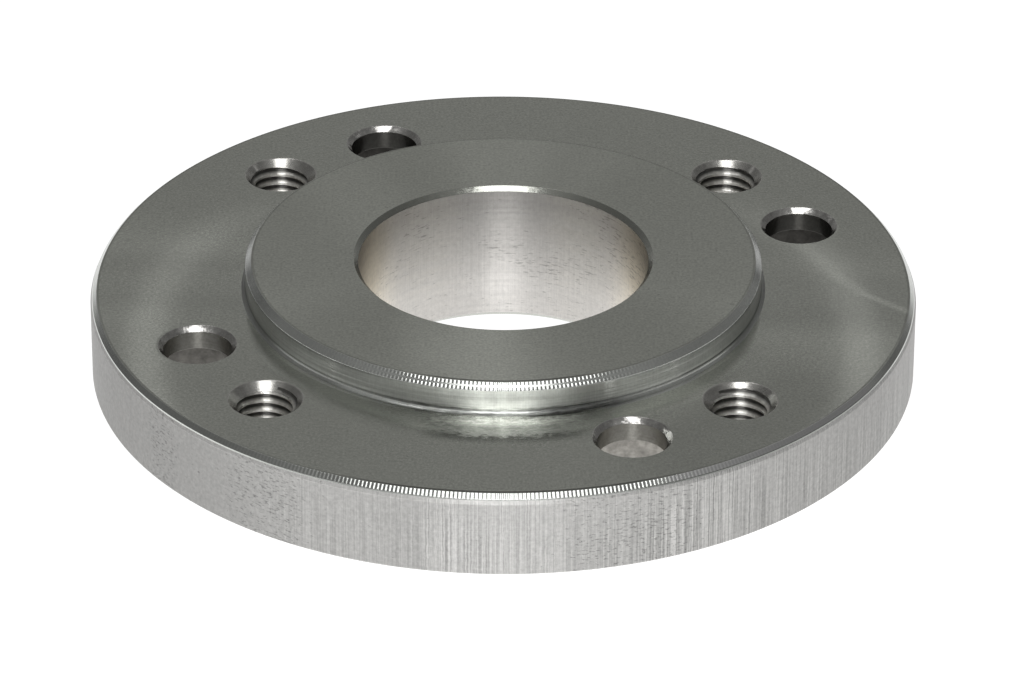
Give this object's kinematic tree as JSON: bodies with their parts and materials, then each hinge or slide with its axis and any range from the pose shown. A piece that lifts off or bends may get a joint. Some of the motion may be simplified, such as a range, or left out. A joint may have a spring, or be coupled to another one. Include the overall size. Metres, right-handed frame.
{
  "type": "plate flange",
  "caption": "Round plate flange turned from solid steel, with a raised hub, centre bore, tapped and counterbored bolt holes on a pitch circle, and a locating spigot below.",
  "frame": {"origin": "on the axis, in the plane of the lower spigot's end face, which is the lowest face and the one that the flange stands on", "axes": "+Z along the axis, up from the spigot's end face to the raised hub; +X points between the plain hole 22.5 degrees to its left and the tapped hole 45 degrees to its right, seen from above"},
  "size_m": [0.104, 0.104, 0.019],
  "materials": {
    "turned_steel": "satin, fine concentric turning marks, bright chamfers"
  },
  "bodies": {
    "root": {"flange": "turned_steel"}
  },
  "joints": []
}
